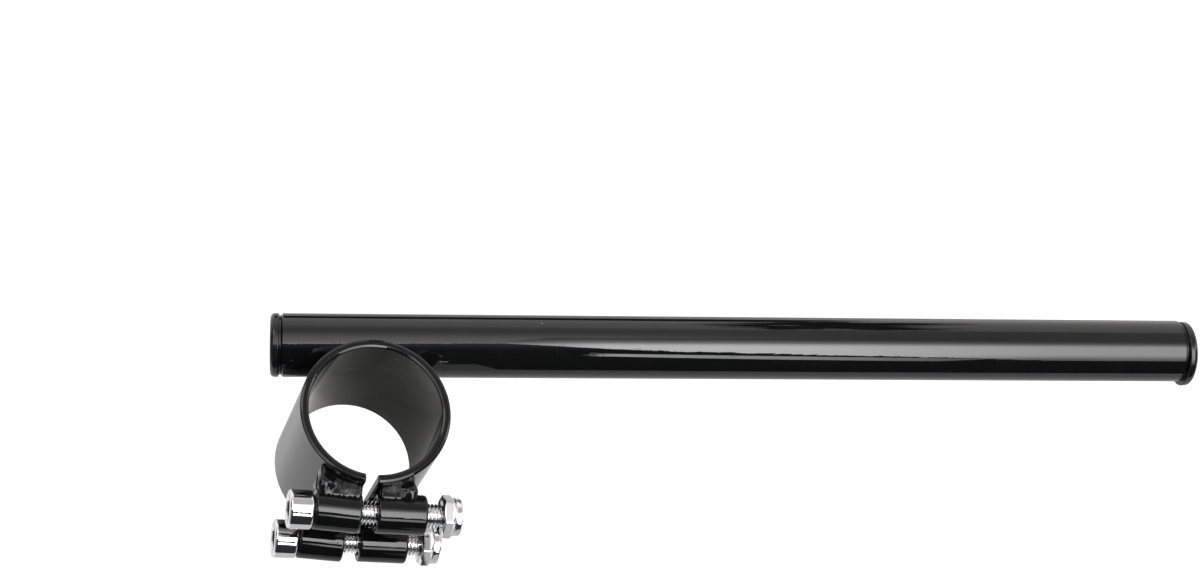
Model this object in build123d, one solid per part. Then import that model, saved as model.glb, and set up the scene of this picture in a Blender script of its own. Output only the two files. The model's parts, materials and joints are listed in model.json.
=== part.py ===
from build123d import *
import math
import os

# Clip-on handlebar for a motorcycle fork leg, millimetres.
# The origin is the middle of the clamp bore. +Z runs up the bore, +X points to the grip end
# and +Y points from the bore to the bar. The pinch slot is on the -Y side.

# Handlebar tube
bar_diameter = 22.2
bar_wall = 3.0
bar_length = 323.5
bar_overhang = 27.5      # from the bore's centre line to the clamp end, along the bar
bar_rise = 9.5           # degrees between the bar and a plane square to the bore
bar_chamfer = 0.6
saddle_depth = 2.1       # how deep the bar is notched over the collar

# Clamp collar
collar_bore = 45.0
collar_wall = 2.9
collar_height = 55.4
collar_chamfer = 0.7
slot_width = 4.0
slot_offset = -1.3       # X of the slot's middle plane

# Pinch bosses
boss_diameter = 13.4
boss_bore = 9.0
boss_chamfer = 0.6
head_boss_length = 15.4
nut_boss_length = 16.7
upper_boss_inset = 11.1  # from the collar's upper rim to the upper bolt line
lower_boss_inset = 12.6  # from the collar's lower rim to the lower bolt line
boss_root_gap = 0.05     # between a boss and the collar's outermost line
head_setback = 0.2       # from the slot's edge to the boss under the bolt head
nut_setback = 1.0        # from the slot's edge to the boss on the nut side
head_side_toe = 3.0      # degrees that the bosses under the heads were welded out of line

# Socket head bolts, M8
bolt_diameter = 8.0
bolt_length = 50.0
bolt_tip_chamfer = 1.0
head_diameter = 13.0
head_height = 8.0
head_rounding = 0.9
head_foot_chamfer = 0.25
socket_width = 6.0
socket_depth = 4.0
socket_lead = 0.35
head_play = 0.1          # between a head and the nearest point of its boss

# Lock nuts, M8, run on but not drawn up
nut_width = 13.0
nut_hex_height = 4.4
nut_crown_height = 2.2
nut_crown_diameter = 12.5
nut_crown_rounding = 1.0
upper_nut_standoff = 5.2  # from the boss to the nut
lower_nut_standoff = 4.6
nut_turn = -25.0         # degrees about the bolt, from a corner pointing straight up
nut_face_diameter = 12.2  # the flat ring left on each face by the turned corners
nut_corner_angle = 30.0   # slope of the turned corners
insert_diameter = 10.4
insert_thickness = 1.5
crown_lip = 0.4
crown_opening = 9.4      # through the crown's lip, where the insert shows
thread_play = 0.05

# End plugs
plug_head_thickness = 3.0
plug_head_rounding = 1.6
plug_inner_rounding = 0.4
plug_gap = 0.8
clamp_plug_diameter = 22.2
grip_plug_diameter = 23.2
grip_plug_drop = 1.0     # the grip end's head sits off centre, towards the slot side
plug_stem_play = 0.4
plug_stem_length = 14.0
plug_stem_wall = 1.8
plug_fin_count = 3
plug_fin_width = 0.8
plug_fin_play = 0.05

# Weld beads
bar_bead_leg = 2.8
bar_bead_rounding = 1.0
boss_bead_toe = 3.0      # from the boss's centre line towards the collar, where a bead starts
boss_bead_lift = 0.5     # how far a bead stands off the boss there
boss_bead_slope = 7.0    # degrees that a bead climbs towards the collar
boss_bead_rounding = 0.4
bead_end_inset = 1.0     # a bead stops short of the boss's end faces
bead_split = 1.6         # half the bare root left behind each boss

# Places that follow from the sizes above
bar_radius = bar_diameter / 2
collar_bore_radius = collar_bore / 2
collar_radius = collar_bore_radius + collar_wall
bar_y = collar_radius + bar_radius - saddle_depth
bar_place = Pos(0, bar_y, 0) * Rot(0, -bar_rise, 0)
boss_radius = boss_diameter / 2
boss_y = -(collar_radius + boss_radius + boss_root_gap)
head_boss_middle = slot_offset - slot_width / 2 - head_setback - head_boss_length / 2
nut_boss_middle = slot_offset + slot_width / 2 + nut_setback + nut_boss_length / 2
nut_boss_end = nut_boss_middle + nut_boss_length / 2
toe_angle = math.radians(head_side_toe)
head_boss_reach = head_boss_length / 2 * math.cos(toe_angle)
head_boss_reach += (boss_radius - boss_chamfer) * math.sin(toe_angle)
head_seat = head_boss_middle - head_boss_reach - head_play
sides = {
    "head": (head_boss_middle, head_boss_length, head_side_toe),
    "nut": (nut_boss_middle, nut_boss_length, 0),
}
levels = {
    "upper": collar_height / 2 - upper_boss_inset,
    "lower": lower_boss_inset - collar_height / 2,
}
nut_faces = {
    "upper": nut_boss_end + upper_nut_standoff,
    "lower": nut_boss_end + lower_nut_standoff,
}


def rod(radius, start, end):
    """A round bar along X between two X values."""
    bar = Cylinder(radius, end - start, align=(Align.CENTER, Align.CENTER, Align.MIN))
    return Pos(start, 0, 0) * Rot(0, 90, 0) * bar


def turned(points):
    """A ring or solid turned about X from an outline of (x, radius) points."""
    outline = Polygon(*points, align=None)
    return revolve(outline, axis=Axis.X)


def ring_edges(shape, x, radius):
    """The round edges of a given radius about X that lie at one X value."""
    return [
        edge
        for edge in shape.edges().filter_by(GeomType.CIRCLE)
        if abs(edge.arc_center.X - x) < 0.01 and abs(edge.radius - radius) < 0.01
    ]


def collar_core(radius):
    """An upright cylinder on the bore's centre line, a little taller than the collar."""
    return Cylinder(radius, collar_height + 2 * bar_diameter)


# Handlebar and collar
def handlebar_tube():
    start = -bar_overhang
    end = start + bar_length
    tube = rod(bar_radius, start, end)
    rims = ring_edges(tube, start, bar_radius) + ring_edges(tube, end, bar_radius)
    tube = chamfer(rims, bar_chamfer)
    tube -= rod(bar_radius - bar_wall, start - 1, end + 1)
    return bar_place * tube - collar_core(collar_radius)


def clamp_collar():
    tube = Cylinder(collar_radius, collar_height) - Cylinder(collar_bore_radius, collar_height)
    rims = tube.edges().filter_by(GeomType.CIRCLE)
    tube = chamfer(rims, collar_chamfer)
    slot = Box(slot_width, 2 * collar_wall + collar_radius, collar_height + 2)
    return tube - Pos(slot_offset, -collar_radius, 0) * slot


# Pinch bosses and their bolts
def boss_place(side, level):
    """The middle of a boss, with X along its bore."""
    middle, length, toe = sides[side]
    return Pos(middle, boss_y, levels[level]) * Rot(0, 0, -toe)


def pinch_boss(side, level):
    half = sides[side][1] / 2
    boss = rod(boss_radius, -half, half)
    rims = ring_edges(boss, -half, boss_radius) + ring_edges(boss, half, boss_radius)
    boss = chamfer(rims, boss_chamfer)
    boss -= rod(boss_bore / 2, -half - 1, half + 1)
    return boss_place(side, level) * boss


def pinch_bolt(level):
    top = head_seat - head_height
    tip = head_seat + bolt_length
    head = rod(head_diameter / 2, top, head_seat)
    head = fillet(ring_edges(head, top, head_diameter / 2), head_rounding)
    head = chamfer(ring_edges(head, head_seat, head_diameter / 2), head_foot_chamfer)
    corner = socket_width / 2 / math.cos(math.radians(30))
    socket = Rot(0, 90, 0) * extrude(RegularPolygon(corner, 6), socket_depth)
    lead_radius = corner + socket_lead
    lead = turned([(top - 1, 0), (top - 1, lead_radius + 1), (top + lead_radius, 0)])
    head -= Pos(top, 0, 0) * socket
    head -= lead
    shank = rod(bolt_diameter / 2, head_seat - 1, tip)
    shank = chamfer(ring_edges(shank, tip, bolt_diameter / 2), bolt_tip_chamfer)
    return Pos(0, boss_y, levels[level]) * (head + shank)


def nut_blank(face):
    """The six-sided body, turned off at its corners on both faces."""
    end = face + nut_hex_height
    corner = nut_width / 2 / math.cos(math.radians(30))
    body = Rot(0, 90, 0) * extrude(RegularPolygon(corner, 6), nut_hex_height)
    body = Pos(face, 0, 0) * Rot(nut_turn, 0, 0) * body
    flat = nut_face_diameter / 2
    reach = (corner - flat) * math.tan(math.radians(nut_corner_angle))
    envelope = [
        (face, 0),
        (face, flat),
        (face + reach, corner),
        (end - reach, corner),
        (end, flat),
        (end, 0),
    ]
    return body & turned(envelope)


def pocket_ends(face):
    """Where the insert starts and ends inside a nut whose face is at X = face."""
    end = face + nut_hex_height + nut_crown_height - crown_lip
    return end - insert_thickness, end


def lock_nut(level):
    face = nut_faces[level]
    hex_end = face + nut_hex_height
    crown_end = hex_end + nut_crown_height
    crown = rod(nut_crown_diameter / 2, hex_end - 1, crown_end)
    crown = fillet(ring_edges(crown, crown_end, nut_crown_diameter / 2), nut_crown_rounding)
    nut = nut_blank(face) + crown
    pocket_start, pocket_end = pocket_ends(face)
    nut -= rod(bolt_diameter / 2 + thread_play, face - 1, pocket_start)
    nut -= rod(insert_diameter / 2, pocket_start, pocket_end)
    nut -= rod(crown_opening / 2, pocket_end, crown_end + 1)
    return Pos(0, boss_y, levels[level]) * nut


def lock_insert(level):
    start, end = pocket_ends(nut_faces[level])
    ring = rod(insert_diameter / 2, start, end)
    ring -= rod(bolt_diameter / 2 + thread_play, start - 1, end + 1)
    return Pos(0, boss_y, levels[level]) * ring


# End plugs
def plug_head(diameter, face):
    """A round cap whose inner face is at X = face and whose outer face is beyond it."""
    outer = face + plug_head_thickness
    head = rod(diameter / 2, face, outer)
    head = fillet(ring_edges(head, outer, diameter / 2), plug_head_rounding)
    return fillet(ring_edges(head, face, diameter / 2), plug_inner_rounding)


def plug_stem(face):
    """A hollow stem with fins, running back from X = face into the tube."""
    bore_radius = bar_radius - bar_wall
    stem_radius = bore_radius - plug_stem_play
    tail = face - plug_stem_length
    stem = rod(stem_radius, tail, face)
    pitch = plug_stem_length / (plug_fin_count + 1)
    for number in range(plug_fin_count):
        middle = face - pitch * (number + 1)
        fin_start = middle - plug_fin_width / 2
        stem += rod(bore_radius - plug_fin_play, fin_start, fin_start + plug_fin_width)
    return stem - rod(stem_radius - plug_stem_wall, tail - 1, face - plug_stem_wall)


def grip_end_plug():
    face = bar_length - bar_overhang + plug_gap
    head = Pos(0, -grip_plug_drop, 0) * plug_head(grip_plug_diameter, face)
    return bar_place * (head + plug_stem(face))


def clamp_end_plug():
    face = bar_overhang + plug_gap
    plug = plug_head(clamp_plug_diameter, face) + plug_stem(face)
    return bar_place * Rot(0, 0, 180) * plug


# Weld beads
def crest(bead, place, radius, collar_reach):
    """The outer edges of a bead, where its two offset surfaces meet."""
    found = []
    for edge in bead.edges():
        point = edge @ 0.5
        local = (place.inverse() * Pos(point.X, point.Y, point.Z)).position
        off_rod = abs(math.hypot(local.Y, local.Z) - radius)
        off_collar = abs(math.hypot(point.X, point.Y) - collar_reach)
        if max(off_rod, off_collar) < 0.01:
            found.append(edge)
    return found


def bar_weld():
    """The bead all round the saddle where the bar meets the collar."""
    half = 2 * collar_radius
    bead_radius = bar_radius + bar_bead_leg
    collar_reach = collar_radius + bar_bead_leg
    bead = (bar_place * rod(bead_radius, -half, half)) & collar_core(collar_reach)
    bead -= bar_place * rod(bar_radius, -half - 1, half + 1)
    bead -= collar_core(collar_radius)
    return fillet(crest(bead, bar_place, bead_radius, collar_reach), bar_bead_rounding)


def boss_weld(side, level, edge):
    """The fill between a boss and the collar, above the boss (edge 1) or below it (edge -1)."""
    half = sides[side][1] / 2 - bead_end_inset
    foot = math.sqrt(boss_radius ** 2 - boss_bead_toe ** 2) + boss_bead_lift
    reach = -boss_y
    top = foot + (reach - boss_bead_toe) * math.tan(math.radians(boss_bead_slope))
    outline = Polygon(
        (boss_bead_toe, edge * bead_split),
        (boss_bead_toe, edge * foot),
        (reach, edge * top),
        (reach, edge * bead_split),
        align=None,
    )
    bead = extrude(Plane.YZ * outline, 2 * half, dir=(1, 0, 0))
    crown = [
        side_edge
        for side_edge in bead.edges()
        if edge * (side_edge @ 0.5).Z > foot - 0.01 and (side_edge @ 0.5).Y < reach - 0.01
    ]
    place = boss_place(side, level)
    bead = place * Pos(-half, 0, 0) * fillet(crown, boss_bead_rounding)
    bead -= place * rod(boss_radius, -half - 1, half + 1)
    return bead - collar_core(collar_radius)


def all_pieces():
    pieces = {
        "handlebar_tube": handlebar_tube(),
        "clamp_collar": clamp_collar(),
        "bar_weld": bar_weld(),
        "clamp_end_plug": clamp_end_plug(),
        "grip_end_plug": grip_end_plug(),
    }
    for level in levels:
        pieces[f"pinch_bolt_{level}"] = pinch_bolt(level)
        pieces[f"lock_nut_{level}"] = lock_nut(level)
        pieces[f"lock_insert_{level}"] = lock_insert(level)
        for side in sides:
            pieces[f"boss_{level}_{side}_side"] = pinch_boss(side, level)
            pieces[f"weld_{level}_{side}_side_top"] = boss_weld(side, level, 1)
            pieces[f"weld_{level}_{side}_side_under"] = boss_weld(side, level, -1)
    return pieces


os.makedirs("parts", exist_ok=True)
for node, shape in all_pieces().items():
    export_step(shape, f"parts/{node}.step")
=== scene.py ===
import json
import math
import random

import bmesh
import bpy
from mathutils import Matrix, Vector


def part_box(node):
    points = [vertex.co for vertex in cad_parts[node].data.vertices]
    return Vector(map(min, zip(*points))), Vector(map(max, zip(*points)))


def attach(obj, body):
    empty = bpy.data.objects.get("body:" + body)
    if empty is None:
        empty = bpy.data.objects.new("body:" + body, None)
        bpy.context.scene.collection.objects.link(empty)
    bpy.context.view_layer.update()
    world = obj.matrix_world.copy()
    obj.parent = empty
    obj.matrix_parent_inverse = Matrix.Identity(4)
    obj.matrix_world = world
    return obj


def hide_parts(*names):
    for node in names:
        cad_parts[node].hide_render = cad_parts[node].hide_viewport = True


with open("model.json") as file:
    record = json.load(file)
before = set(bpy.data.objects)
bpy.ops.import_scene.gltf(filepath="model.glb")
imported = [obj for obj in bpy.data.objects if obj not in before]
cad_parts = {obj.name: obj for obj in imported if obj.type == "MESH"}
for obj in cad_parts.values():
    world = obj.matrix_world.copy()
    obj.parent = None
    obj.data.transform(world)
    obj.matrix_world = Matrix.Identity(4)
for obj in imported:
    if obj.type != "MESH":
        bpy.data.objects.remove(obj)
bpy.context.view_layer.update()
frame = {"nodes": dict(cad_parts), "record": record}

# Clip-on handlebar, metres, in the part's own frame: +Z up the clamp bore, +X to the grip end.
MM = 0.001

# Sizes read from the frame
mounts = {mount["name"]: mount for mount in frame["record"]["mounts"]}
bar_radius = mounts["grip_seat"]["dims"]["r_mm"] * MM
bar_axis = Vector(mounts["grip_seat"]["axis"]).normalized()
bar_middle = Vector(mounts["grip_seat"]["pos_m"])
bore_radius = mounts["fork_clamp"]["dims"]["r_mm"] * MM
collar_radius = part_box("clamp_collar")[1].x

LEVELS = ("upper", "lower")
SIDES = ("head", "nut")


def centre_line(node):
    """Y and Z of the line that a piece lying along X is turned about."""
    low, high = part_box(node)
    return (low.y + high.y) / 2, (low.z + high.z) / 2


class Wire:
    """A number or vector in a node tree. Sums, products and comparisons of wires add Math nodes."""

    def __init__(self, graph, socket):
        self.graph = graph
        self.socket = socket

    def math(self, operation, *values):
        return self.graph.math(operation, *values)

    def __add__(self, other):
        return self.math("ADD", self, other)

    def __radd__(self, other):
        return self.math("ADD", other, self)

    def __sub__(self, other):
        return self.math("SUBTRACT", self, other)

    def __rsub__(self, other):
        return self.math("SUBTRACT", other, self)

    def __mul__(self, other):
        return self.math("MULTIPLY", self, other)

    def __rmul__(self, other):
        return self.math("MULTIPLY", other, self)

    def __truediv__(self, other):
        return self.math("DIVIDE", self, other)

    def __rtruediv__(self, other):
        return self.math("DIVIDE", other, self)

    def __neg__(self):
        return self.math("MULTIPLY", self, -1.0)

    def __lt__(self, other):
        return self.math("LESS_THAN", self, other)


class Graph:
    """Builds one node tree, of a material, the world or a modifier."""

    def __init__(self, tree):
        self.tree = tree

    def node(self, kind, settings=None, values=None):
        """A new node: its settings first, then its sockets' values or links."""
        node = self.tree.nodes.new(kind)
        for name, setting in (settings or {}).items():
            if name == "stops":
                self.set_stops(node.color_ramp, setting)
            else:
                setattr(node, name, setting)
        for name, value in (values or {}).items():
            self.join(value, node.inputs[name])
        return node

    def set_stops(self, ramp, stops):
        while len(ramp.elements) < len(stops):
            ramp.elements.new(1.0)
        for element, (place, level) in zip(ramp.elements, stops):
            element.position = place
            element.color = grey(level)

    def join(self, value, socket):
        if isinstance(value, Wire):
            self.tree.links.new(value.socket, socket)
        else:
            socket.default_value = value

    def get(self, kind, settings=None, values=None, out=0):
        """The same as node, and gives one output as a wire."""
        return Wire(self, self.node(kind, settings, values).outputs[out])

    def math(self, operation, *values):
        return self.get("ShaderNodeMath", {"operation": operation}, dict(enumerate(values)))

    def vector(self, operation, *values, out=0):
        settings = {"operation": operation}
        return self.get("ShaderNodeVectorMath", settings, dict(enumerate(values)), out)

    def dot(self, a, b):
        return self.vector("DOT_PRODUCT", a, b, out="Value")

    def combine(self, x=0.0, y=0.0, z=0.0):
        """A vector of three numbers."""
        return self.get("ShaderNodeCombineXYZ", None, {0: x, 1: y, 2: z})

    def scaled(self, vector, factor):
        """A vector made longer by one factor."""
        settings = {"operation": "SCALE"}
        return self.get("ShaderNodeVectorMath", settings, {0: vector, "Scale": factor})

    def split(self, vector):
        """The X, Y and Z of a vector."""
        parts = self.node("ShaderNodeSeparateXYZ", None, {0: vector})
        return [Wire(self, output) for output in parts.outputs]

    def step(self, value, low, high):
        """0 below low, 1 above high and smooth between them."""
        values = {"Value": value, "From Min": low, "From Max": high}
        return self.get("ShaderNodeMapRange", {"interpolation_type": "SMOOTHSTEP"}, values)

    def band(self, value, low, high, soft):
        """1 between low and high, with edges as wide as soft."""
        return self.step(value, low - soft / 2, low + soft / 2) * (
            1 - self.step(value, high - soft / 2, high + soft / 2))

    def ramp(self, value, stops):
        """A grey level read from stops of (place, level)."""
        return self.get("ShaderNodeValToRGB", {"stops": stops}, {0: value})

    def mix(self, factor, a, b):
        """Colour a where factor is 0 and b where it is 1."""
        settings = {"data_type": "RGBA", "clamp_factor": True}
        return self.get("ShaderNodeMix", settings, {0: factor, 6: a, 7: b}, out=2)

    def stretch(self, place, scale):
        """A place multiplied by one scale for each axis."""
        return self.vector("MULTIPLY", place, scale)

    def noise(self, place, scale, detail=2.0, roughness=0.5):
        values = {"Vector": place, "Scale": scale, "Detail": detail, "Roughness": roughness}
        return self.get("ShaderNodeTexNoise", None, values, out=0)

    def wobble(self, place, scale, detail, reach):
        """Noise about nought, as far as half of reach either way."""
        return (self.noise(place, scale, detail) - 0.5) * reach


def grey(value):
    return (value, value, value, 1.0)


# Finishes
def new_paint(name):
    material = bpy.data.materials.new(name)
    material.use_nodes = True
    graph = Graph(material.node_tree)
    graph.tree.nodes.clear()
    place = graph.get("ShaderNodeTexCoord", out="Object")
    return material, graph, place


def finish_paint(graph, values):
    shader = graph.node("ShaderNodeBsdfPrincipled", None, values)
    graph.node("ShaderNodeOutputMaterial", None, {"Surface": Wire(graph, shader.outputs[0])})


def dust_specks(graph, place, cell, share, size):
    """Small specks, one in a share of the cells of a grid. size is in cells."""
    values = {"Vector": place, "Scale": 1 / cell, "Randomness": 1.0}
    spots = graph.node("ShaderNodeTexVoronoi", None, values)
    pick = graph.get("ShaderNodeSeparateColor", None, {0: Wire(graph, spots.outputs["Color"])})
    near = 1 - graph.step(Wire(graph, spots.outputs["Distance"]), size * 0.6, size)
    return near * (pick < share)


SPECK_CELL = 6.5 * MM
SPECK_SIZE = 0.034       # in cells
SPECK_COLOUR = (0.42, 0.41, 0.38, 1.0)
PIT_CELL = 3.4 * MM
SPECKED_SHARE = 0.3      # of the cells that have a speck or a pit
PEEL_HEIGHT = 0.012 * MM


def gloss_black(name, index, pit_size=0.05, pit_depth=0.6, rub=0.0):
    """Thick gloss paint: deep black, a little orange peel, dust specks, pits and fine scratches.
    pit_size is in cells, and rub is the grey of the fine lines round the clamp's bore."""
    material, graph, place = new_paint(name)
    peel = graph.noise(place, 420.0, 2.0)
    wander = graph.noise(place, 35.0, 3.0)
    specks = dust_specks(graph, place, SPECK_CELL, SPECKED_SHARE, SPECK_SIZE)
    pits = dust_specks(graph, place, PIT_CELL, SPECKED_SHARE, pit_size)
    hair_place = graph.vector("ADD", graph.stretch(place, (90.0, 900.0, 900.0)), (3.1, 0.4, 7.7))
    hair = graph.step(graph.noise(hair_place, 1.0, 1.0), 0.735, 0.75)
    smear = graph.step(graph.noise(place, 70.0, 4.0, 0.6), 0.45, 0.8)
    colour = graph.mix(smear * 0.5, grey(0.003), grey(0.006))
    colour = graph.mix(specks, colour, SPECK_COLOUR)
    if rub:
        colour = graph.mix(bore_rubs(graph, place), colour, grey(rub))
    rough = 0.012 + smear * 0.03 + hair * 0.12 + specks * 0.5 + pits * 0.25
    height = peel * 0.5 + wander * 2.0 + specks * 1.2 - pits * pit_depth - hair * 0.25
    bump = graph.get("ShaderNodeBump", None, {
        "Strength": 0.8, "Distance": PEEL_HEIGHT, "Height": height})
    finish_paint(graph, {"Base Color": colour, "Roughness": rough, "IOR": index, "Normal": bump})
    return material


def bore_rubs(graph, place):
    """Fine broken lines round the inside of the clamp, where a fork leg has turned in it."""
    x, y, z = graph.split(place)
    off_centre = graph.vector("LENGTH", graph.combine(x, y), out="Value")
    ring_place = graph.stretch(place, (45.0, 45.0, 1300.0))
    rings = graph.step(graph.noise(ring_place, 1.0, 2.0), 0.60, 0.72)
    rings = rings * graph.step(graph.noise(place, 60.0, 2.0), 0.42, 0.62)
    return rings * (off_centre < bore_radius + 0.05 * MM)


def chrome():
    """Bright plate with faint turning lines."""
    material, graph, place = new_paint("chrome")
    lines = graph.noise(graph.stretch(place, (9000.0, 300.0, 300.0)), 1.0, 2.0)
    cloud = graph.noise(place, 260.0, 3.0)
    colour = graph.mix(cloud, (0.77, 0.765, 0.755, 1.0), (0.69, 0.69, 0.685, 1.0))
    rough = 0.04 + cloud * 0.05
    bump = graph.get("ShaderNodeBump", None, {
        "Strength": 0.25, "Distance": 0.004 * MM, "Height": lines + cloud * 3.0})
    finish_paint(graph, {"Base Color": colour, "Metallic": 1.0, "Roughness": rough, "Normal": bump})
    return material


def black_plastic():
    """Moulded plastic: half matt, with a fine grain and light rubs."""
    material, graph, place = new_paint("black_plastic")
    grain = graph.noise(place, 2600.0, 2.0)
    rub = graph.step(graph.noise(place, 240.0, 4.0, 0.65), 0.5, 0.75)
    colour = graph.mix(rub, grey(0.004), grey(0.009))
    rough = 0.13 + rub * 0.08 + grain * 0.03
    bump = graph.get("ShaderNodeBump", None, {
        "Strength": 0.4, "Distance": 0.02 * MM, "Height": grain})
    finish_paint(graph, {"Base Color": colour, "Roughness": rough, "IOR": 1.45, "Normal": bump})
    return material


def nylon():
    """The lock ring in the nut: off white, half clear plastic."""
    material, graph, place = new_paint("nylon")
    cloud = graph.noise(place, 900.0, 3.0)
    colour = graph.mix(cloud, (0.74, 0.75, 0.72, 1.0), (0.66, 0.68, 0.66, 1.0))
    finish_paint(graph, {"Base Color": colour, "Roughness": 0.4 + cloud * 0.1,
                         "Subsurface Weight": 0.3, "Subsurface Radius": (MM, MM, MM)})
    return material


paints = {"gloss_black": gloss_black("gloss_black", 1.5), "chrome": chrome(),
          "black_plastic": black_plastic(), "nylon": nylon()}
# the clamp's coat mirrors less than the bar's and has deeper pits
clamp_black = gloss_black("clamp_black", 1.39, pit_size=0.09, pit_depth=5.0, rub=0.07)


def dress_nodes():
    """Gives every carried-over node the paint of its slot."""
    for row in frame["record"]["subparts"]:
        mesh = frame["nodes"][row["node"]].data
        mesh.materials.clear()
        mesh.materials.append(paints[row["material_slot"]])


# Turned pieces
SIX_SHARPNESS = 90       # the higher, the sharper a six-sided piece's corners


def six_sided(angle, radius, width, turn):
    """A circle's radius at an angle, cut back to a hexagon of that width across its flats."""
    ratio = 2 * radius / width
    total = 1.0
    for face in range(6):
        total += max(math.cos(angle - turn - face * math.pi / 3) * ratio, 0.0) ** SIX_SHARPNESS
    return radius * total ** (-1 / SIX_SHARPNESS)


LARGEST_ARC = 0.38       # of a side's length, so that two arcs leave some flat between them
FLAT_LEAD = 1.25         # how far off the corner, in arcs' reaches, the close point on the flat is


def soften(outline, radius, closed=False, steps=4):
    """An outline with its corners rounded. Each arc has a close point on the flat beside it."""
    rounded = []
    last = len(outline) - 1
    for number, corner in enumerate(outline):
        if not closed and number in (0, last):
            rounded.append(corner)
            continue
        corner = Vector(corner)
        back = Vector(outline[number - 1]) - corner
        ahead = Vector(outline[(number + 1) % len(outline)]) - corner
        half = back.angle(ahead) / 2
        reach = min(radius / math.tan(half), LARGEST_ARC * back.length, LARGEST_ARC * ahead.length)
        back.normalize()
        ahead.normalize()
        centre = corner + (back + ahead).normalized() * reach / math.cos(half)
        spread = math.pi - 2 * half
        turn = spread if back.x * ahead.y - back.y * ahead.x < 0 else -spread
        arm = corner + back * reach - centre
        rounded.append(tuple(corner + back * reach * FLAT_LEAD))
        for step in range(steps + 1):
            angle = turn * step / steps
            swing = Matrix.Rotation(angle, 2)
            rounded.append(tuple(centre + swing @ arm))
        rounded.append(tuple(corner + ahead * reach * FLAT_LEAD))
    return rounded


def lathe(name, rings, centre, segments, closed=False):
    """A piece turned about a line along X. Each ring is (x, radius, width across six flats or None,
    turn of the flats). An open row of rings starts and ends on the line itself."""
    shape = bmesh.new()
    rows = []
    for x, radius, width, turn in rings:
        if radius == 0.0:
            rows.append([shape.verts.new((x, centre[0], centre[1]))])
            continue
        row = []
        for step in range(segments):
            angle = 2 * math.pi * step / segments
            reach = radius if width is None else six_sided(angle, radius, width, turn)
            row.append(shape.verts.new((x, centre[0] + reach * math.cos(angle),
                                        centre[1] + reach * math.sin(angle))))
        rows.append(row)
    pairs = list(zip(rows, rows[1:]))
    if closed:
        pairs.append((rows[-1], rows[0]))
    for one, other in pairs:
        for step in range(segments):
            ahead = (step + 1) % segments
            corners = [one[step % len(one)], one[ahead % len(one)],
                       other[ahead % len(other)], other[step % len(other)]]
            shape.faces.new(list(dict.fromkeys(corners)))
    bmesh.ops.recalc_face_normals(shape, faces=shape.faces)
    mesh = bpy.data.meshes.new(name)
    shape.to_mesh(mesh)
    shape.free()
    mesh.shade_smooth()
    piece = bpy.data.objects.new(name, mesh)
    bpy.context.scene.collection.objects.link(piece)
    return piece


def plain_rings(outline):
    return [(x, radius, None, 0.0) for x, radius in outline]


def settle(piece, slot, *nodes):
    """A finished piece: painted, carried by the clamp and shown in place of its solids."""
    piece.data.materials.clear()
    piece.data.materials.append(clamp_black if slot == "gloss_black" else paints[slot])
    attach(piece, "root")
    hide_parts(*nodes)


# Shaping trees
class Shaper:
    """A Geometry Nodes tree with named inputs that moves the points of a piece."""

    def __init__(self, name, inputs):
        self.tree = bpy.data.node_groups.new(name, "GeometryNodeTree")
        face = self.tree.interface
        face.new_socket(name="Piece", in_out="INPUT", socket_type="NodeSocketGeometry")
        for label, kind in inputs.items():
            face.new_socket(name=label, in_out="INPUT", socket_type="NodeSocket" + kind)
        face.new_socket(name="Paint", in_out="INPUT", socket_type="NodeSocketMaterial")
        face.new_socket(name="Piece", in_out="OUTPUT", socket_type="NodeSocketGeometry")
        self.graph = Graph(self.tree)
        entry = self.graph.node("NodeGroupInput")
        self.given = {output.name: Wire(self.graph, output) for output in entry.outputs[:-1]}
        self.place = self.graph.get("GeometryNodeInputPosition")
        self.normal = self.graph.get("GeometryNodeInputNormal")

    def end(self, offset):
        """Moves the points, makes what is left real and paints it."""
        graph = self.graph
        values = {"Geometry": self.given["Piece"], "Offset": offset}
        moved = graph.get("GeometryNodeSetPosition", None, values)
        real = graph.get("GeometryNodeRealizeInstances", None, {"Geometry": moved})
        values = {"Geometry": real, "Material": self.given["Paint"]}
        painted = graph.get("GeometryNodeSetMaterial", None, values)
        graph.node("NodeGroupOutput", None, {"Piece": painted})

    def apply(self, piece, values):
        """Runs the tree on a piece and keeps the result as its plain mesh."""
        modifier = piece.modifiers.new("shaping", "NODES")
        modifier.node_group = self.tree
        for socket in self.tree.interface.items_tree:
            if socket.in_out == "INPUT" and socket.name in values:
                modifier[socket.identifier] = values[socket.name]
        keep_result(piece)


def keep_result(piece):
    """Turns what a piece's modifiers make into its own mesh, and takes the modifiers off."""
    depsgraph = bpy.context.evaluated_depsgraph_get()
    depsgraph.update()
    mesh = bpy.data.meshes.new_from_object(piece.evaluated_get(depsgraph))
    piece.modifiers.clear()
    piece.data = mesh
    mesh.shade_smooth()


THREAD_CREST = 0.14      # flat share of the thread's crest, in half turns
THREAD_FLANK = 0.74      # the flank's share


def thread_cutter():
    """Cuts a right-hand vee thread into a round stretch that lies along X."""
    shaper = Shaper("thread_cutter", {
        "Centre": "Vector", "Pitch": "Float", "Depth": "Float",
        "Start": "Float", "End": "Float", "Run Out": "Float"})
    graph, given = shaper.graph, shaper.given
    x, y, z = graph.split(graph.vector("SUBTRACT", shaper.place, given["Centre"]))
    turns = graph.math("ARCTAN2", z, y) / (2 * math.pi)
    phase = graph.math("FRACT", x / given["Pitch"] - turns)
    groove = graph.math("ABSOLUTE", phase - 0.5) * 2
    slope = (groove - THREAD_CREST) / THREAD_FLANK
    cut = graph.math("MINIMUM", graph.math("MAXIMUM", slope, 0.0), 1.0)
    there = graph.step(x, given["Start"], given["Start"] + given["Run Out"]) * (
        1 - graph.step(x, given["End"] - given["Run Out"], given["End"]))
    outward = graph.vector("NORMALIZE", graph.combine(0.0, y, z))
    shaper.end(graph.scaled(outward, -(cut * there * given["Depth"])))
    return shaper


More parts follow.
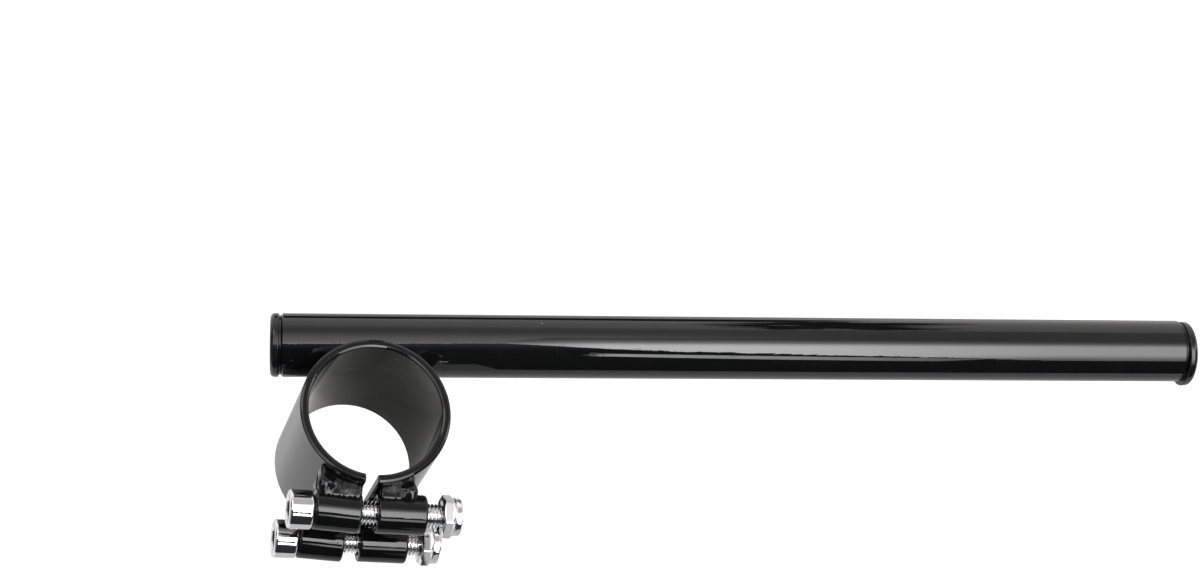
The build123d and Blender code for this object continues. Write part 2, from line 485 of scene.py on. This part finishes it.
# Socket head bolts
THREAD_PITCH = 1.25 * MM
THREAD_DEPTH = 0.77 * MM
THREAD_RINGS = 14        # rings of points in each turn of the thread
THREAD_GAP = 3.0 * MM    # plain stretch under the head
SHANK_RADIUS = 4.0 * MM
SHANK_FILLET = 0.2 * MM
HEAD_HEIGHT = 8.0 * MM
HEAD_ROUNDING = 0.9 * MM
SOCKET_WIDTH = 6.0 * MM
SOCKET_DEPTH = 4.0 * MM
SOCKET_LEAD = 0.35 * MM
TIP_CHAMFER = 1.0 * MM
TIP_STEPS = 8
FINE = 0.05 * MM         # the step of a ring that only keeps an edge crisp
BOLT_SEGMENTS = 72


def bolt(level, cutter):
    node = f"pinch_bolt_{level}"
    low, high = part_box(node)
    centre = centre_line(node)
    head_radius = (high.z - low.z) / 2
    top, tip = low.x, high.x
    seat = top + HEAD_HEIGHT
    corner = SOCKET_WIDTH / 2 / math.cos(math.pi / 6)
    socket_floor = top + SOCKET_DEPTH
    mouth = top + SOCKET_LEAD
    # the six-sided socket, from its floor's middle out to its mouth
    rings = [(socket_floor, 0.0, None, 0.0)]
    for x, radius in ((socket_floor, corner * 0.5), (socket_floor, corner * 0.97),
                      (socket_floor - FINE, corner), (mouth + 2 * FINE, corner), (mouth, corner)):
        rings.append((x, radius * 1.001, SOCKET_WIDTH, 0.0))
    head = soften([(top, corner + SOCKET_LEAD), (top, head_radius), (seat, head_radius),
                   (seat, SHANK_RADIUS)], HEAD_ROUNDING, steps=6)
    rings += plain_rings(head[:-1])
    # the shank, with rings close enough for its thread, and the chamfered tip
    start = seat + SHANK_FILLET
    end = tip - TIP_CHAMFER
    count = int((end - start) / THREAD_PITCH * THREAD_RINGS)
    spacing = (end - start) / count
    rings += plain_rings([(seat, SHANK_RADIUS + SHANK_FILLET)])
    rings += plain_rings([(start + spacing * step, SHANK_RADIUS) for step in range(count + 1)])
    rings += plain_rings([(tip - TIP_CHAMFER * (1 - step / TIP_STEPS),
                           SHANK_RADIUS - TIP_CHAMFER * step / TIP_STEPS)
                          for step in range(1, TIP_STEPS + 1)])
    rings += plain_rings([(tip, SHANK_RADIUS - TIP_CHAMFER - FINE), (tip, 0.0)])
    piece = lathe(f"bolt_{level}", rings, centre, BOLT_SEGMENTS)
    cutter.apply(piece, {
        "Centre": (0.0, centre[0], centre[1]), "Pitch": THREAD_PITCH, "Depth": THREAD_DEPTH,
        "Start": seat + THREAD_GAP, "End": tip + THREAD_PITCH, "Run Out": THREAD_PITCH,
        "Paint": paints["chrome"]})
    settle(piece, "chrome", node)


# Lock nuts
NUT_WIDTH = 13.0 * MM
NUT_HEX_HEIGHT = 4.4 * MM
NUT_TURN = math.radians(-25)
NUT_FACE_RADIUS = 6.1 * MM
NUT_CORNER_ANGLE = math.radians(30)
NUT_SHOULDER_ANGLE = math.radians(43)     # the rounder corners on the crown's side
NUT_CROWN_RADIUS = 6.25 * MM
NUT_BORE_RADIUS = 4.05 * MM
NUT_OPENING_RADIUS = 4.7 * MM
NUT_LIP = 0.4 * MM
NUT_EDGE_ROUNDING = 0.22 * MM
NUT_CROWN_ROUNDING = 1.1 * MM
# the fillet where the crown leaves the six-sided part, as (along, out)
NUT_FILLET = ((0.0, 0.12 * MM), (0.1 * MM, 0.02 * MM), (0.2 * MM, 0.0))
NUT_SEGMENTS = 216
INSERT_ROUNDING = 0.3 * MM
INSERT_SEGMENTS = 96


def nut(level):
    """A six-sided nut with a rounded crown, and the lock ring that shows in the crown's opening."""
    node = f"lock_nut_{level}"
    low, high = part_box(node)
    centre = centre_line(f"pinch_bolt_{level}")
    face, crown_end = low.x, high.x
    hex_end = face + NUT_HEX_HEIGHT
    corner = NUT_WIDTH / 2 / math.cos(math.pi / 6)
    reach = (corner - NUT_FACE_RADIUS) * math.tan(NUT_CORNER_ANGLE)
    shoulder = (corner - NUT_FACE_RADIUS) * math.tan(NUT_SHOULDER_ANGLE)
    body = soften([(face, NUT_BORE_RADIUS), (face, NUT_FACE_RADIUS), (face + reach, corner),
                   (hex_end - shoulder, corner), (hex_end, NUT_FACE_RADIUS),
                   (hex_end, NUT_CROWN_RADIUS)], NUT_EDGE_ROUNDING)
    crown = soften([(hex_end, NUT_CROWN_RADIUS), (crown_end, NUT_CROWN_RADIUS),
                    (crown_end, NUT_OPENING_RADIUS), (crown_end - NUT_LIP, NUT_OPENING_RADIUS)],
                   NUT_CROWN_ROUNDING, steps=7)
    rings = [(x, radius, NUT_WIDTH, NUT_TURN) for x, radius in body[:-1]]
    rings += plain_rings([(hex_end + along, NUT_CROWN_RADIUS + out) for along, out in NUT_FILLET])
    # the pocket behind the crown's lip, which the lock ring fills
    low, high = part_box(f"lock_insert_{level}")
    pocket = (high.z - low.z) / 2
    rings += plain_rings(crown[1:] + [(high.x, pocket), (low.x, pocket), (low.x, NUT_BORE_RADIUS)])
    piece = lathe(f"nut_{level}", rings, centre, NUT_SEGMENTS, closed=True)
    settle(piece, "chrome", node)
    ring = soften([(low.x, NUT_BORE_RADIUS), (low.x, pocket), (high.x, pocket),
                   (high.x, NUT_BORE_RADIUS)], INSERT_ROUNDING, closed=True)
    piece = lathe(f"insert_{level}", plain_rings(ring), centre, INSERT_SEGMENTS, closed=True)
    settle(piece, "nylon", f"lock_insert_{level}")


# Bosses and collar
BOSS_LENGTHS = {"head": 15.4 * MM, "nut": 16.7 * MM}
BOSS_TOES = {"head": math.radians(3), "nut": 0.0}
BOSS_BORE_RADIUS = 4.5 * MM
BOSS_ROUNDING = 0.8 * MM
BOSS_SEGMENTS = 120
COLLAR_ROUNDING = 0.5 * MM
COLLAR_EASE = (0.85 * MM, 0.4 * MM)     # the rims' eased edges, across and down
COLLAR_COLUMNS = 240
SLOT_EDGES = (-3.3 * MM, 0.7 * MM)      # along x
SLOT_ROUNDING = 0.4 * MM


def boss(level, side):
    """A short tube with thickly painted, rounded ends."""
    node = f"boss_{level}_{side}_side"
    low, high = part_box(node)
    middle = (low + high) / 2
    radius = (high.z - low.z) / 2
    half = BOSS_LENGTHS[side] / 2
    outline = soften([(middle.x - half, BOSS_BORE_RADIUS), (middle.x - half, radius),
                      (middle.x + half, radius), (middle.x + half, BOSS_BORE_RADIUS)],
                     BOSS_ROUNDING, closed=True, steps=6)
    piece = lathe(node.replace("side", "tube"), plain_rings(outline), centre_line(node),
                  BOSS_SEGMENTS, closed=True)
    toe = Matrix.Rotation(-BOSS_TOES[side], 4, "Z")
    piece.data.transform(Matrix.Translation(middle) @ toe @ Matrix.Translation(-middle))
    settle(piece, "gloss_black", node)


def collar():
    """The split collar: one rounded section carried round from slot wall to slot wall."""
    low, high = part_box("clamp_collar")
    ease, drop = COLLAR_EASE
    section = soften([(bore_radius, low.z + drop), (bore_radius + ease, low.z),
                      (collar_radius - ease, low.z), (collar_radius, low.z + drop),
                      (collar_radius, high.z - drop), (collar_radius - ease, high.z),
                      (bore_radius + ease, high.z), (bore_radius, high.z - drop)],
                     COLLAR_ROUNDING, closed=True, steps=6)
    half_wall = (collar_radius - bore_radius) / 2
    middle = Vector(((bore_radius + collar_radius) / 2, (low.z + high.z) / 2))
    # the rounding at a slot wall as (way off the wall, inset), with a close column on each side
    ends = [(0.0, SLOT_ROUNDING * 1.4)]
    for step in range(4):
        angle = math.pi / 6 * step
        ends.append((SLOT_ROUNDING * (1 - math.cos(angle)), SLOT_ROUNDING * (1 - math.sin(angle))))
    ends.append((SLOT_ROUNDING * 1.3, 0.0))
    # each column is (turn from slot wall to slot wall, way off the wall, inset of the section)
    columns = [(0.0, off, inset) for off, inset in ends]
    columns += [(step / COLLAR_COLUMNS, 0.0, 0.0) for step in range(1, COLLAR_COLUMNS)]
    columns += [(1.0, off, inset) for off, inset in reversed(ends)]
    shape = bmesh.new()
    rows = []
    for turn, off, inset in columns:
        row = []
        for radius, z in section:
            radius = middle.x + (radius - middle.x) * (1 - inset / half_wall)
            z = middle.y + (z - middle.y) * (1 - inset / (high.z - middle.y))
            first = math.asin((SLOT_EDGES[1] + off) / radius)
            last = 2 * math.pi + math.asin((SLOT_EDGES[0] - off) / radius)
            angle = first + (last - first) * turn
            row.append(shape.verts.new((radius * math.sin(angle), -radius * math.cos(angle), z)))
        rows.append(row)
    for one, other in zip(rows, rows[1:]):
        for step in range(len(section)):
            ahead = (step + 1) % len(section)
            shape.faces.new((one[step], one[ahead], other[ahead], other[step]))
    shape.faces.new(rows[0])
    shape.faces.new(rows[-1])
    bmesh.ops.recalc_face_normals(shape, faces=shape.faces)
    mesh = bpy.data.meshes.new("collar")
    shape.to_mesh(mesh)
    shape.free()
    mesh.shade_smooth()
    piece = bpy.data.objects.new("collar", mesh)
    bpy.context.scene.collection.objects.link(piece)
    settle(piece, "gloss_black", "clamp_collar")


# Weld beads
def weld_shaper():
    """Swells a bead and gives it lumps, fine ripples across its run and one blob."""
    shaper = Shaper("weld_shaper", {
        "Swell": "Float", "Lump Size": "Float", "Lump Height": "Float",
        "Ripple Pitch": "Float", "Ripple Height": "Float", "Run": "Vector",
        "Blob": "Vector", "Blob Reach": "Float", "Blob Height": "Float"})
    graph, given = shaper.graph, shaper.given
    size = given["Lump Size"]
    lump_place = graph.vector("DIVIDE", shaper.place, graph.combine(size, size, size))
    lump = graph.wobble(lump_place, 1.0, 1.5, 2.0)
    along = graph.dot(shaper.place, given["Run"])
    wander = graph.noise(shaper.place, 400.0, 1.0) * 1.5
    ripple = graph.math("SINE", (along / given["Ripple Pitch"] + wander) * (2 * math.pi))
    height = given["Swell"] + lump * given["Lump Height"] + ripple * given["Ripple Height"]
    away = graph.vector("DISTANCE", shaper.place, given["Blob"], out="Value")
    height = height + given["Blob Height"] * (1 - graph.step(away, 0.0, given["Blob Reach"]))
    shaper.end(graph.scaled(shaper.normal, height))
    return shaper


WELD_VOXEL = 0.26 * MM
WELD_SMOOTHING = 22
NUT_WELD_SHARE = 0.74     # how much of its solid's length a weld on the nut side has
BOSS_WELD = {
    "Swell": 0.3 * MM, "Lump Size": 6.5 * MM, "Lump Height": 0.65 * MM,
    "Ripple Pitch": 1.7 * MM, "Ripple Height": 0.02 * MM, "Run": (1.0, 0.0, 0.0),
    "Blob Reach": 4.2 * MM, "Blob Height": 1.5 * MM}
BAR_WELD = {
    "Swell": 0.3 * MM, "Lump Size": 4.5 * MM, "Lump Height": 0.4 * MM,
    "Ripple Pitch": 1.6 * MM, "Ripple Height": 0.03 * MM, "Run": (1.0, 0.0, 1.0),
    "Blob": (0.0, 0.0, 0.0), "Blob Reach": 1.0 * MM, "Blob Height": 0.0}
HEAD_BLOB = (1.6 * MM, 6.4 * MM)     # in from the low x and the high y of the weld's box
NUT_BLOB = (9.5 * MM, 2.5 * MM)      # in from its low x and low y


def solid_copy(node):
    """A closed copy of a solid's mesh, joined up and made into an even net of small faces."""
    mesh = frame["nodes"][node].data.copy()
    shape = bmesh.new()
    shape.from_mesh(mesh)
    bmesh.ops.remove_doubles(shape, verts=shape.verts, dist=0.001 * MM)
    bmesh.ops.recalc_face_normals(shape, faces=shape.faces)
    shape.to_mesh(mesh)
    shape.free()
    piece = bpy.data.objects.new(node + "_bead", mesh)
    bpy.context.scene.collection.objects.link(piece)
    remesh = piece.modifiers.new("net", "REMESH")
    remesh.mode = "VOXEL"
    remesh.voxel_size = WELD_VOXEL
    smooth = piece.modifiers.new("smooth", "SMOOTH")
    smooth.factor = 0.5
    smooth.iterations = WELD_SMOOTHING
    keep_result(piece)
    return piece


def welds():
    """Two beads along each boss, above and below it, and the ring round the bar's saddle."""
    shaper = weld_shaper()
    for level in LEVELS:
        for side in SIDES:
            for edge in ("top", "under"):
                node = f"weld_{level}_{side}_side_{edge}"
                low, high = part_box(node)
                piece = solid_copy(node)
                height = high.z if edge == "top" else low.z
                if side == "nut":
                    blob = (low.x + NUT_BLOB[0], low.y + NUT_BLOB[1], height)
                    for point in piece.data.vertices:
                        point.co.x = low.x + (point.co.x - low.x) * NUT_WELD_SHARE
                else:
                    blob = (low.x + HEAD_BLOB[0], high.y - HEAD_BLOB[1], height)
                shaper.apply(piece, {**BOSS_WELD, "Blob": blob, "Paint": clamp_black})
                settle(piece, "gloss_black", node)
    piece = solid_copy("bar_weld")
    shaper.apply(piece, {**BAR_WELD, "Paint": clamp_black})
    settle(piece, "gloss_black", "bar_weld")


# Plug necks
CLAMP_END = -27.5 * MM       # along the bar from the bore's centre line
NECK_LENGTH = 0.8 * MM
NECK_RADII = (7.6 * MM, 10.35 * MM)
NECK_ROUNDING = 0.1 * MM
NECK_SEGMENTS = 160


def plug_necks():
    """The shoulder of each plug that fills the tube's mouth under the plug's head."""
    rise = math.asin(bar_axis.z)
    place = Matrix.Translation((0.0, bar_middle.y, 0.0)) @ Matrix.Rotation(-rise, 4, "Y")
    grip_end = bar_middle.dot(bar_axis) + mounts["grip_seat"]["dims"]["length_mm"] * MM / 2
    inner, outer = NECK_RADII
    for name, start in (("grip_plug_neck", grip_end), ("clamp_plug_neck", CLAMP_END - NECK_LENGTH)):
        end = start + NECK_LENGTH
        outline = soften([(start, inner), (start, outer), (end, outer), (end, inner)],
                         NECK_ROUNDING, closed=True)
        piece = lathe(name, plain_rings(outline), (0.0, 0.0), NECK_SEGMENTS, closed=True)
        piece.data.transform(place)
        piece.data.materials.append(paints["black_plastic"])
        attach(piece, "root")


# Studio, described in the camera's own directions: right, up and back towards the camera
PICTURE_WIDTH = 1200
FOCAL_PIXELS = 2253.741
SENSOR_WIDTH = 36.0
CAMERA_AIM = Vector((88.161, 64.779, 0.0)) * MM
CAMERA_DISTANCE = 821.806 * MM
CAMERA_HEADING = math.radians(33.8316)     # from +Y towards +X
CAMERA_DIP = math.radians(60.7803)         # below the level
CAMERA_ROLL = math.radians(34.9291)

camera_back = Vector((-math.sin(CAMERA_HEADING) * math.cos(CAMERA_DIP),
                      -math.cos(CAMERA_HEADING) * math.cos(CAMERA_DIP),
                      math.sin(CAMERA_DIP)))
level_right = Vector((0, 0, 1)).cross(camera_back).normalized()
camera_right = Matrix.Rotation(CAMERA_ROLL, 3, camera_back) @ level_right
camera_up = camera_back.cross(camera_right)
camera_place = CAMERA_AIM + camera_back * CAMERA_DISTANCE

FLOOR_DROP = 0.35
FLOOR_RADIUS = 0.8
FLOOR_SEEN = 0.6            # its own light, to the camera
FLOOR_MIRRORED = 0.07       # and in mirrors
FLOOR_BESIDE = 0.42         # more of it in mirrors, beside the clamp


def seen_from_camera(right, up, back):
    return camera_right * right + camera_up * up + camera_back * back


def make_camera():
    data = bpy.data.cameras.new("camera")
    data.sensor_width = SENSOR_WIDTH
    data.lens = SENSOR_WIDTH * FOCAL_PIXELS / PICTURE_WIDTH
    camera = bpy.data.objects.new("camera", data)
    turn = Matrix((camera_right, camera_up, camera_back)).transposed().to_4x4()
    camera.matrix_world = Matrix.Translation(camera_place) @ turn
    bpy.context.scene.collection.objects.link(camera)
    bpy.context.scene.camera = camera


def glow_sheet(name, corners, light):
    """A flat light that only mirrors show. Its corners are (right, up, back) from the origin;
    light takes the graph and a place's right and up."""
    mesh = bpy.data.meshes.new(name)
    shape = bmesh.new()
    shape.faces.new([shape.verts.new(seen_from_camera(*corner)) for corner in corners])
    shape.to_mesh(mesh)
    shape.free()
    sheet = bpy.data.objects.new(name, mesh)
    bpy.context.scene.collection.objects.link(sheet)
    sheet.visible_camera = False
    sheet.visible_shadow = False
    material, graph, place = new_paint(name)
    right = graph.dot(place, tuple(camera_right))
    up = graph.dot(place, tuple(camera_up))
    glow = graph.get("ShaderNodeEmission", None, {
        "Color": grey(1.0), "Strength": light(graph, right, up)})
    graph.node("ShaderNodeOutputMaterial", None, {"Surface": glow})
    mesh.materials.append(material)
    return sheet


# Painted shade: a dim glowing disc just under the bore, which only mirrors see, standing in for the
# table in the clamp's own shade, which the bore mirrors
SHADE_RADIUS = 24.5 * MM
SHADE_LEVEL = -30.0 * MM
SHADE_COLOUR = (1.0, 0.99, 0.96, 1.0)
# its light from the low x edge to the high x edge
SHADE_LIGHT = [(0.0, 0.85), (0.296, 0.80), (0.378, 0.66), (0.439, 0.46), (0.5, 0.38), (0.561, 0.32),
               (0.63, 0.245), (1.0, 0.28)]


def shade_disc():
    mesh = bpy.data.meshes.new("shade")
    shape = bmesh.new()
    bmesh.ops.create_circle(shape, cap_ends=True, segments=64, radius=SHADE_RADIUS)
    shape.to_mesh(mesh)
    shape.free()
    mesh.transform(Matrix.Translation((0.0, 0.0, SHADE_LEVEL)))
    disc = bpy.data.objects.new("shade", mesh)
    bpy.context.scene.collection.objects.link(disc)
    disc.visible_camera = False
    disc.visible_shadow = False
    disc.visible_diffuse = False
    material, graph, place = new_paint("shade")
    x, y, z = graph.split(place)
    level = graph.ramp(x / (2 * SHADE_RADIUS) + 0.5, SHADE_LIGHT)
    level = level * (0.82 + graph.step(y, 5 * MM, 18 * MM) * 0.18)
    glow = graph.get("ShaderNodeEmission", None, {"Color": SHADE_COLOUR, "Strength": level})
    graph.node("ShaderNodeOutputMaterial", None, {"Surface": glow})
    mesh.materials.append(material)


def make_floor():
    """A round pale floor below the part, near white to the camera and in mirrors."""
    mesh = bpy.data.meshes.new("floor")
    shape = bmesh.new()
    bmesh.ops.create_circle(shape, cap_ends=True, segments=96, radius=FLOOR_RADIUS)
    shape.to_mesh(mesh)
    shape.free()
    middle = bar_middle * 0.8
    mesh.transform(Matrix.Translation((middle.x, middle.y, -FLOOR_DROP)))
    floor = bpy.data.objects.new("floor", mesh)
    bpy.context.scene.collection.objects.link(floor)
    material, graph, place = new_paint("floor")
    rays = graph.node("ShaderNodeLightPath")
    seen = Wire(graph, rays.outputs["Is Camera Ray"])
    mirrored = Wire(graph, rays.outputs["Is Glossy Ray"])
    mirrored = mirrored + Wire(graph, rays.outputs["Is Transmission Ray"])
    cloud = graph.noise(place, 3.0, 3.0)
    colour = graph.mix(cloud, grey(0.36), grey(0.38))
    beside = 1 - graph.step(graph.split(place)[0], -0.13, -0.03)
    glow = seen * FLOOR_SEEN + mirrored * (FLOOR_MIRRORED + beside * FLOOR_BESIDE)
    finish_paint(graph, {"Base Color": colour, "Roughness": 0.9, "Specular IOR Level": 0.1,
                         "Emission Color": (1.0, 1.0, 1.0, 1.0), "Emission Strength": glow})
    mesh.materials.append(material)


# The room round the part. Each list is of (place, light), from low to high.
BACKDROP_LIGHT = [(0.0, 0.75), (0.15, 0.9), (0.4, 0.95), (0.6, 0.9), (1.0, 1.0)]
NEAR_WALL_LIGHT = [(0.14, 1.3), (0.2, 1.0), (0.3, 0.8), (0.45, 0.7), (0.62, 0.5), (0.75, 0.3),
                   (0.88, 0.22), (0.95, 0.3)]
FAR_WALL_LIGHT = [(0.2, 1.0), (0.3, 0.75), (0.4, 0.36), (0.5, 0.19), (0.6, 0.09), (1.0, 0.1)]
LOW_LIGHT = [(0.1, 0.04), (0.4, 0.05), (0.5, 0.25), (0.6, 0.6)]
LEFT_END_LIGHT = [(0.12, 0.36), (0.3, 0.04)]
BACKDROP_STRENGTH = 1.2
NEAR_WALL_STRENGTH = 3.0
FAR_WALL_STRENGTH = 6.0
HIGH_BOX_STRENGTH = 3.0
BACKDROP_COLOUR = (1.0, 0.99, 0.965, 1.0)
WALL_COLOUR = (1.0, 0.965, 0.99, 1.0)
LOW_COLOUR = (0.70, 0.84, 1.0, 1.0)
DARKEST = 0.985          # how much of the light the dark patch and the seam take away


def dark_shapes(graph, right, up, back):
    """1 on the frayed dark patch over the bar and on the seam of the backdrop, otherwise 0."""
    lean = graph.math("ARCTAN2", up, -back)
    along = right - back * 0.13
    streaks = graph.noise(graph.combine(along * 26.0, lean * 13.0), 1.0, 2.0)
    streaks = graph.step(streaks, 0.66, 0.68)
    frayed_end = along + graph.wobble(graph.combine(lean * 11.0, 4.2), 1.0, 2.0, 0.11)
    frayed_side = lean + graph.wobble(graph.combine(along * 60.0, 8.6), 1.0, 2.0, 0.4)
    patch = graph.band(frayed_side, 1.05, 1.74, 0.03) * graph.band(frayed_end, 0.197, 0.284, 0.008)
    patch = patch * (1 - streaks)
    seam = graph.band(lean, 0.80, 1.10, 0.06) * graph.band(right, -0.2, 0.17, 0.04)
    return graph.math("MAXIMUM", patch, seam)


def room_light(graph, right, up):
    """The light of the room on the camera's side, and 1 where it comes from the lit wall."""
    # the wall over the camera is lit down to a worn foot, which is higher on the right
    foot = graph.math("MINIMUM", graph.math("MAXIMUM", right * 1.25 - 0.04, 0.05), 0.23)
    foot = foot + graph.wobble(graph.combine(right), 260.0, 1.0, 0.16)
    lit = graph.step(up - foot, -0.01, 0.01)
    near_wall = graph.ramp(up, NEAR_WALL_LIGHT) * NEAR_WALL_STRENGTH
    far_wall = graph.ramp(up, FAR_WALL_LIGHT) * FAR_WALL_STRENGTH
    far = graph.step(right, 0.2, 0.36)
    wall = (near_wall * (1 - far) + far_wall * far) * lit
    low_glow = graph.ramp(up * 0.5 + 0.5, LOW_LIGHT)
    front = wall + low_glow * (1 - lit)
    # beyond the lit wall's left end it is dim, and dark higher up
    left_end = graph.step(right, -0.55, -0.42)
    front = front * left_end + graph.ramp(up, LEFT_END_LIGHT) * (1 - left_end)
    # a second box, high on the left
    high_box = graph.band(right, -0.48, -0.10, 0.1) * graph.band(up, 0.62, 0.82, 0.06)
    return front + high_box * HIGH_BOX_STRENGTH, lit


def make_world():
    """A plain studio round the part, described by direction. The camera sees plain white."""
    world = bpy.data.worlds.new("studio")
    bpy.context.scene.world = world
    world.use_nodes = True
    graph = Graph(world.node_tree)
    graph.tree.nodes.clear()
    direction = graph.get("ShaderNodeTexCoord", out="Generated")
    right = graph.dot(direction, tuple(camera_right))
    up = graph.dot(direction, tuple(camera_up))
    back = graph.dot(direction, tuple(camera_back))
    # the white backdrop behind the part, which comes further forward above it
    edge = graph.step(up, -0.2, 0.9) * 0.34 - 0.12
    backdrop = 1 - graph.step(back, edge - 0.012, edge + 0.012)
    backdrop_light = graph.ramp(up * 0.5 + 0.5, BACKDROP_LIGHT) * BACKDROP_STRENGTH
    shown = 1 - dark_shapes(graph, right, up, back) * DARKEST
    front, lit = room_light(graph, right, up)
    light = (front * (1 - backdrop) + backdrop_light * backdrop) * shown
    front_colour = graph.mix(lit, LOW_COLOUR, WALL_COLOUR)
    colour = graph.mix(backdrop, front_colour, BACKDROP_COLOUR)
    rays = graph.node("ShaderNodeLightPath")
    seen = Wire(graph, rays.outputs["Is Camera Ray"])
    strength = light * (1 - seen) + seen
    tint = graph.mix(seen, colour, grey(1.0))
    background = graph.get("ShaderNodeBackground", None, {"Color": tint, "Strength": strength})
    graph.node("ShaderNodeOutputWorld", None, {"Surface": background})


# The big soft box beside the camera, as (right, up) in a plane square to the view
KEY_DISTANCE = 1.0
KEY_STRENGTH = 12.0
KEY_OUTLINE = [(0.33, 0.75), (0.275, 0.44), (0.255, 0.34), (0.268, 0.25), (0.30, 0.13),
               (0.35, -0.065), (0.411, -0.195), (0.465, -0.275), (0.55, -0.395), (0.68, -0.56),
               (0.83, -0.82), (1.25, -0.86), (1.25, 0.90)]
KEY_ACROSS = [(0.08, 0.55), (0.15, 0.95), (0.30, 0.91), (0.43, 0.73), (0.55, 0.60), (1.0, 0.45)]
KEY_FALL = [(0.18, 1.0), (0.29, 0.84), (0.36, 0.60), (0.43, 0.365), (0.51, 0.235), (0.59, 0.165),
            (0.66, 0.12), (0.80, 0.05)]
# The uneven steps of its lower edge: which sides have them, how far apart they are and how high
RAGGED_SIDES = range(5, 10)
RAGGED_SPACING = 0.0055
RAGGED_REACH = 0.042
RAGGED_SEED = 11
# The box's pale lip, beyond a dark gap
LIP_STRENGTH = 6.8
LIP_OUTLINE = [(0.335, -0.30), (0.35, -0.40), (0.44, -0.47), (0.54, -0.55), (0.68, -0.64),
               (0.74, -0.68), (0.74, -1.00), (0.68, -0.97), (0.54, -0.86), (0.44, -0.74),
               (0.35, -0.61), (0.335, -0.55)]
LIP_ACROSS = [(0.337, 0.12), (0.346, 0.3), (0.360, 1.0), (0.54, 0.75), (0.68, 0.42), (0.74, 0.3)]
# Painted reflection: a glowing card under the nuts that only mirrors see, brighter to the right,
# standing in for a lit white card on the table
CARD_CORNERS = [(0.030, -0.105, -0.028), (0.055, -0.105, -0.028),
                (0.055, -0.105, 0.045), (0.030, -0.105, 0.045)]


def key_light(graph, right, up):
    across = graph.ramp(right - 0.2, KEY_ACROSS) * KEY_STRENGTH
    top = graph.ramp(up - (right - 0.63) * 0.23, KEY_FALL)
    dim = graph.step(right, 0.62, 0.80) * graph.step(-up, 0.2, 0.75) * 0.64
    return across * top * (1 - dim)


def lip_light(graph, right, up):
    return graph.ramp(right, LIP_ACROSS) * LIP_STRENGTH


def card_light(graph, right, up):
    return 0.5 + right * 1.5


def ragged(outline, sides, spacing, reach):
    """An outline whose sides numbered in sides get small uneven steps up and down."""
    chance = random.Random(RAGGED_SEED)
    worn = []
    for number, (one, other) in enumerate(zip(outline, outline[1:] + outline[:1])):
        worn.append(one)
        if number not in sides:
            continue
        count = int(math.dist(one, other) / spacing)
        for step in range(1, count):
            share = step / count
            worn.append((one[0] + (other[0] - one[0]) * share,
                         one[1] + (other[1] - one[1]) * share + chance.uniform(-reach, reach)))
    return worn


def in_key_plane(outline):
    """An outline's corners as (right, up, back)."""
    return [(right, up, KEY_DISTANCE) for right, up in outline]


def make_studio():
    make_camera()
    make_floor()
    make_world()
    key_outline = ragged(KEY_OUTLINE, RAGGED_SIDES, RAGGED_SPACING, RAGGED_REACH)
    glow_sheet("key_light", in_key_plane(key_outline), key_light)
    glow_sheet("lip_light", in_key_plane(LIP_OUTLINE), lip_light)
    card = glow_sheet("low_card", CARD_CORNERS, card_light)
    card.visible_diffuse = False
    shade_disc()
    bpy.context.scene.view_settings.view_transform = "Standard"


dress_nodes()
cutter = thread_cutter()
for level in LEVELS:
    bolt(level, cutter)
    nut(level)
    for side in SIDES:
        boss(level, side)
collar()
welds()
plug_necks()
make_studio()
